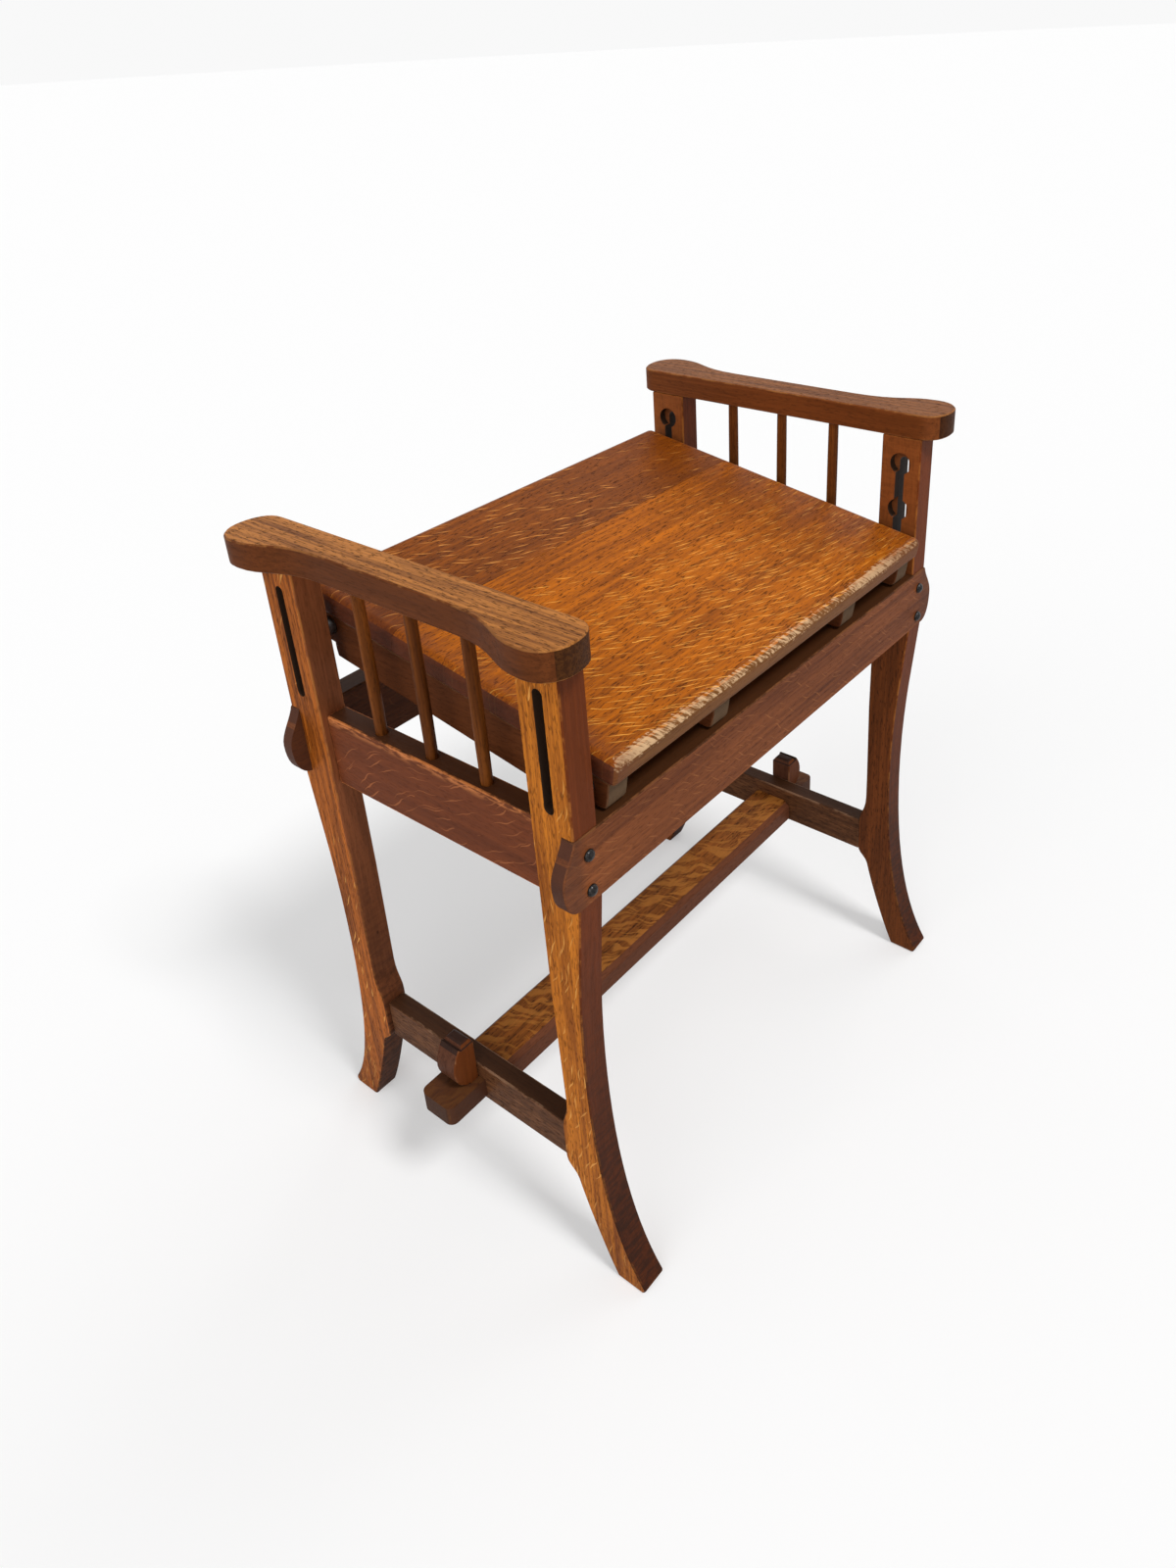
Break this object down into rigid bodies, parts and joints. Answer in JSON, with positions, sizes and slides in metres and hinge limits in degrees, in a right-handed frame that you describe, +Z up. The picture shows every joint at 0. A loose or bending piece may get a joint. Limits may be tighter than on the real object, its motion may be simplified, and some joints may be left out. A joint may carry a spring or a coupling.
{
  "type": "adjustable stool",
  "caption": "Oak piano stool with sabre legs, open spindled arms, a tusk-tenoned footrest and a board seat that steps up and tilts on keyhole posts.",
  "frame": {"origin": "on the floor, at the middle of the stool", "axes": "+X from the left arm to the right arm, -Y towards the front, +Z up"},
  "size_m": [0.569, 0.363, 0.6],
  "materials": {
    "leg_oak": "quarter-sawn golden oak, worn polish",
    "arm_oak": "mid brown oak, worn polish",
    "rail_oak": "red-brown oak, polished",
    "dark_oak": "dark stained oak",
    "seat_oak": "quarter-sawn oak with ray fleck, polished",
    "steel": "dull turned steel",
    "iron": "black domed studs"
  },
  "bodies": {
    "frame": {"front_left_leg": "leg_oak", "front_right_leg": "leg_oak", "back_left_leg": "leg_oak", "back_right_leg": "leg_oak", "left_arm": "arm_oak", "right_arm": "arm_oak", "left_spindle_front": "arm_oak", "left_spindle_middle": "arm_oak", "left_spindle_back": "arm_oak", "right_spindle_front": "arm_oak", "right_spindle_middle": "arm_oak", "right_spindle_back": "arm_oak", "left_side_rail": "rail_oak", "right_side_rail": "rail_oak", "left_lower_rail": "dark_oak", "right_lower_rail": "dark_oak", "front_rail": "rail_oak", "back_rail": "rail_oak", "front_left_top_stud": "iron", "front_left_low_stud": "iron", "front_right_top_stud": "iron", "front_right_low_stud": "iron", "back_left_top_stud": "iron", "back_left_low_stud": "iron", "back_right_top_stud": "iron", "back_right_low_stud": "iron", "footrest": "seat_oak", "left_wedge": "rail_oak", "right_wedge": "rail_oak"},
    "front_rod": {"front_rod": "steel"},
    "seat": {"seat_front_board": "seat_oak", "seat_back_board": "seat_oak", "left_end_bearer": "dark_oak", "left_inner_bearer": "dark_oak", "right_inner_bearer": "dark_oak", "right_end_bearer": "dark_oak", "left_end_bearer_front_screw": "steel", "left_end_bearer_back_screw": "steel", "left_inner_bearer_front_screw": "steel", "left_inner_bearer_back_screw": "steel", "right_inner_bearer_front_screw": "steel", "right_inner_bearer_back_screw": "steel", "right_end_bearer_front_screw": "steel", "right_end_bearer_back_screw": "steel", "back_rod": "steel"},
    "front_left_sleeve": {"front_left_sleeve": "steel"},
    "front_right_sleeve": {"front_right_sleeve": "steel"},
    "back_left_sleeve": {"back_left_sleeve": "steel"},
    "back_right_sleeve": {"back_right_sleeve": "steel"}
  },
  "joints": [
    {"name": "seat_lift", "type": "slide", "parent": "frame", "child": "front_rod", "axis": [0, 0, 1], "range_m": [0, 0.0432]},
    {"name": "seat_tilt", "type": "hinge", "parent": "front_rod", "child": "seat", "pos_m": [0, -0.13, 0.4664], "axis": [1, 0, 0], "range_deg": [-9.49, 0]},
    {"name": "front_left_lock", "type": "slide", "parent": "front_rod", "child": "front_left_sleeve", "axis": [-1, 0, 0], "range_m": [0, 0.0075]},
    {"name": "front_right_lock", "type": "slide", "parent": "front_rod", "child": "front_right_sleeve", "axis": [1, 0, 0], "range_m": [0, 0.0075]},
    {"name": "back_left_lock", "type": "slide", "parent": "seat", "child": "back_left_sleeve", "axis": [-1, 0, 0], "range_m": [0, 0.0075]},
    {"name": "back_right_lock", "type": "slide", "parent": "seat", "child": "back_right_sleeve", "axis": [1, 0, 0], "range_m": [0, 0.0075]}
  ]
}
